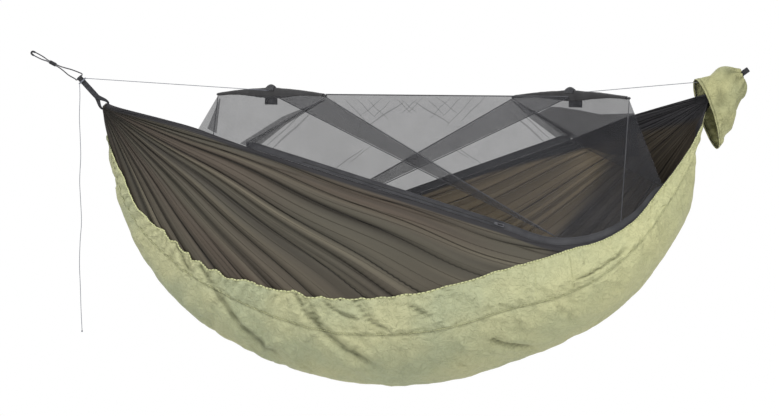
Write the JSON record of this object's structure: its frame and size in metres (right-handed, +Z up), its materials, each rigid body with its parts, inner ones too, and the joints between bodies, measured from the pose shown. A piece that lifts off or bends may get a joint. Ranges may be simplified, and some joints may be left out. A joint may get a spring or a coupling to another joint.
{
  "type": "hammock tent",
  "caption": "Gathered-end camping hammock with a mosquito net on bowed spreader rods, a quilted under layer, webbing and rope hangers and a stuff sack over one end.",
  "frame": {"origin": "in the left hanging eye, where a hook or a carabiner bears", "axes": "+X along the hammock to its right end, +Y to its far side, +Z up; the near side with the entry zip faces -Y"},
  "size_m": [2.6752, 0.7622, 1.2544],
  "materials": {
    "entry_zip_teeth": "matt",
    "far_gusset_inner_seam": "matt woven",
    "far_gusset_outer_seam": "matt woven",
    "far_hem_band": "matt woven",
    "far_net_corner": "matt woven",
    "far_net_gusset": "matt woven",
    "far_net_main_panel": "matt woven",
    "far_net_strip": "matt woven",
    "far_net_zip_panel": "matt woven",
    "far_quilt_hem": "matt woven",
    "far_short_seam": "matt woven",
    "far_upright_seam": "matt woven",
    "hammock_cloth": "matt woven",
    "left_eye_sleeve": "matt woven",
    "left_far_rod_cap": "matt",
    "left_gathered_channel": "matt woven",
    "left_hanger_loop": "matt woven",
    "left_hanger_tab": "matt woven",
    "left_near_rod_cap": "matt",
    "left_net_end": "matt woven",
    "left_ridge_knot": "matt woven",
    "left_ridge_line": "matt woven",
    "left_rod_sleeve": "matt woven",
    "left_rope_whipping": "matt",
    "left_spreader_rod": "satin anodised",
    "left_suspension_rope": "matt woven",
    "left_webbing_loop": "matt woven",
    "near_gusset_inner_seam": "matt woven",
    "near_gusset_outer_seam": "matt woven",
    "near_hem_band": "matt woven",
    "near_net_corner": "matt woven",
    "near_net_gusset": "matt woven",
    "near_net_main_panel": "matt woven",
    "near_net_strip": "matt woven",
    "near_net_zip_panel": "matt woven",
    "near_quilt_hem": "matt woven",
    "near_short_seam": "matt woven",
    "near_upright_seam": "matt woven",
    "net_ridge_tape": "matt woven",
    "quilted_under_layer": "matt woven",
    "right_far_rod_cap": "matt",
    "right_gathered_channel": "matt woven",
    "right_hanger_loop": "matt woven",
    "right_hanger_tab": "matt woven",
    "right_near_rod_cap": "matt",
    "right_net_end": "matt woven",
    "right_ridge_knot": "matt woven",
    "right_ridge_line": "matt woven",
    "right_rod_sleeve": "matt woven",
    "right_spreader_rod": "satin anodised",
    "right_webbing_loop": "matt woven",
    "sack_drawcord": "matt woven",
    "stuff_sack": "matt woven",
    "tail_cord": "matt woven",
    "tail_knot": "matt woven",
    "zip_pull": "satin dark",
    "zip_slider": "satin dark"
  },
  "bodies": {
    "suspension": {"left_eye_sleeve": "left_eye_sleeve", "left_rope_whipping": "left_rope_whipping", "left_suspension_rope": "left_suspension_rope"},
    "hammock": {"entry_zip_teeth": "entry_zip_teeth", "far_gusset_inner_seam": "far_gusset_inner_seam", "far_gusset_outer_seam": "far_gusset_outer_seam", "far_hem_band": "far_hem_band", "far_net_corner": "far_net_corner", "far_net_gusset": "far_net_gusset", "far_net_main_panel": "far_net_main_panel", "far_net_strip": "far_net_strip", "far_net_zip_panel": "far_net_zip_panel", "far_quilt_hem": "far_quilt_hem", "far_short_seam": "far_short_seam", "far_upright_seam": "far_upright_seam", "hammock_cloth": "hammock_cloth", "left_far_rod_cap": "left_far_rod_cap", "left_gathered_channel": "left_gathered_channel", "left_hanger_loop": "left_hanger_loop", "left_hanger_tab": "left_hanger_tab", "left_near_rod_cap": "left_near_rod_cap", "left_net_end": "left_net_end", "left_ridge_knot": "left_ridge_knot", "left_ridge_line": "left_ridge_line", "left_rod_sleeve": "left_rod_sleeve", "left_spreader_rod": "left_spreader_rod", "left_webbing_loop": "left_webbing_loop", "near_gusset_inner_seam": "near_gusset_inner_seam", "near_gusset_outer_seam": "near_gusset_outer_seam", "near_hem_band": "near_hem_band", "near_net_corner": "near_net_corner", "near_net_gusset": "near_net_gusset", "near_net_main_panel": "near_net_main_panel", "near_net_strip": "near_net_strip", "near_net_zip_panel": "near_net_zip_panel", "near_quilt_hem": "near_quilt_hem", "near_short_seam": "near_short_seam", "near_upright_seam": "near_upright_seam", "net_ridge_tape": "net_ridge_tape", "quilted_under_layer": "quilted_under_layer", "right_far_rod_cap": "right_far_rod_cap", "right_gathered_channel": "right_gathered_channel", "right_hanger_loop": "right_hanger_loop", "right_hanger_tab": "right_hanger_tab", "right_near_rod_cap": "right_near_rod_cap", "right_net_end": "right_net_end", "right_ridge_knot": "right_ridge_knot", "right_ridge_line": "right_ridge_line", "right_rod_sleeve": "right_rod_sleeve", "right_spreader_rod": "right_spreader_rod", "right_webbing_loop": "right_webbing_loop", "tail_cord": "tail_cord", "tail_knot": "tail_knot"},
    "sack": {"sack_drawcord": "sack_drawcord", "stuff_sack": "stuff_sack"},
    "zip_slider": {"zip_slider": "zip_slider"},
    "zip_pull": {"zip_pull": "zip_pull"}
  },
  "joints": [
    {"name": "hammock_swing", "type": "hinge", "parent": "suspension", "child": "hammock", "pos_m": [0.1735, 0, -0.09173], "axis": [0.7382, 0, 0.6746], "range_deg": [-25, 25]},
    {"name": "sack_slide", "type": "slide", "parent": "hammock", "child": "sack", "axis": [0.8125, 0, 0.5829], "range_m": [0, 0.12]},
    {"name": "slider_travel", "type": "slide", "parent": "hammock", "child": "zip_slider", "axis": [-0.9395, 0.1696, 0.2976], "range_m": [0, 0.747]},
    {"name": "pull_swing", "type": "hinge", "parent": "zip_slider", "child": "zip_pull", "pos_m": [1.71775, -0.28475, -0.62607], "axis": [-0.2929, 0.0529, -0.9547], "range_deg": [0, 170]}
  ]
}
